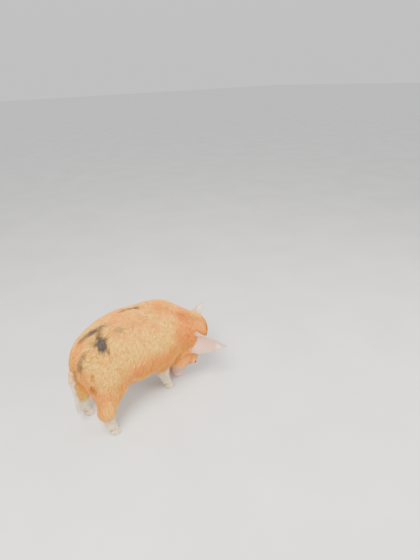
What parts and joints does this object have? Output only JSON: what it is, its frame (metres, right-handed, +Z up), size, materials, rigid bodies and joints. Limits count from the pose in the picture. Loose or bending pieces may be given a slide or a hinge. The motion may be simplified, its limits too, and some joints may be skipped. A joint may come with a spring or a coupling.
{
  "type": "pig model",
  "caption": "Life-size still model of a young kunekune pig rooting with its head down, with a round spotted ginger body, cupped ears, wattles, cloven hooves and a tasselled tail.",
  "frame": {"origin": "on the floor, under the middle of the model's bounding box", "axes": "+X from the rump to the shoulders, +Y to the pig's left, +Z up"},
  "size_m": [0.6706, 0.2988, 0.421],
  "materials": {
    "ginger": "thick straight hair",
    "cream": "pale hair",
    "pink": "short-haired skin",
    "horn": "worn hoof horn",
    "eye": "wet and glossy"
  },
  "bodies": {
    "root": {"torso": "ginger", "head": "ginger", "eye_left": "eye", "eye_right": "eye", "snout": "pink", "neck": "ginger", "ear_left": "pink", "ear_right": "pink", "wattle_left": "pink", "wattle_right": "pink", "tail": "cream", "leg_hind_right": "ginger", "dewclaw_hind_right_left": "horn", "dewclaw_hind_right_right": "horn", "leg_hind_left": "ginger", "dewclaw_hind_left_left": "horn", "dewclaw_hind_left_right": "horn", "leg_front_right": "cream", "dewclaw_front_right_left": "horn", "dewclaw_front_right_right": "horn", "leg_front_left": "cream", "dewclaw_front_left_left": "horn", "dewclaw_front_left_right": "horn", "hoof_hind_right_left": "horn", "hoof_hind_right_right": "horn", "hoof_hind_left_left": "horn", "hoof_hind_left_right": "horn", "hoof_front_right_left": "horn", "hoof_front_right_right": "horn", "hoof_front_left_left": "horn", "hoof_front_left_right": "horn"}
  },
  "joints": []
}
